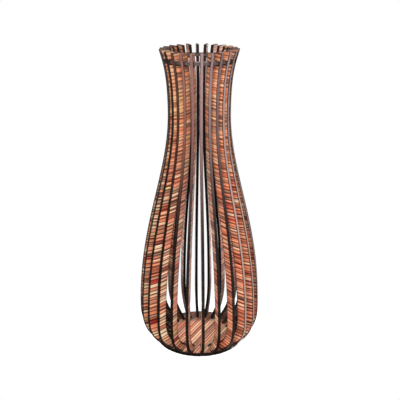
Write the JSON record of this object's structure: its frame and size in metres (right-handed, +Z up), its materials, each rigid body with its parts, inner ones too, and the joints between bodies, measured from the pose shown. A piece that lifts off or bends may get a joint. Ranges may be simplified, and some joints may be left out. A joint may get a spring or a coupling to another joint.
{
  "type": "slatted wooden vase",
  "caption": "Tall openwork vase: curved radial ribs of striped laminated wood stand edge-on around a round base disc and a slotted neck ring, with a wide belly, narrow neck and flared rim.",
  "frame": {"origin": "centre of the base disc's underside, on the surface that the vase stands on", "axes": "+Z up along the vase's axis, -Y towards the viewer, with one rib facing -Y"},
  "size_m": [0.245, 0.245, 0.6],
  "materials": {
    "strip_board": "satin lacquer over thin glued strips of red, orange and cream wood",
    "dark_board": "dark brown stain under satin lacquer"
  },
  "bodies": {
    "root": {"base_disc": "strip_board", "neck_ring": "dark_board", "rib_01": "strip_board", "rib_02": "strip_board", "rib_03": "strip_board", "rib_04": "strip_board", "rib_05": "strip_board", "rib_06": "strip_board", "rib_07": "strip_board", "rib_08": "strip_board", "rib_09": "strip_board", "rib_10": "strip_board", "rib_11": "strip_board", "rib_12": "strip_board", "rib_13": "strip_board", "rib_14": "strip_board", "rib_15": "strip_board", "rib_16": "strip_board", "rib_17": "strip_board", "rib_18": "strip_board", "rib_19": "strip_board", "rib_20": "strip_board", "rib_21": "strip_board", "rib_22": "strip_board", "rib_23": "strip_board", "rib_24": "strip_board"}
  },
  "joints": []
}
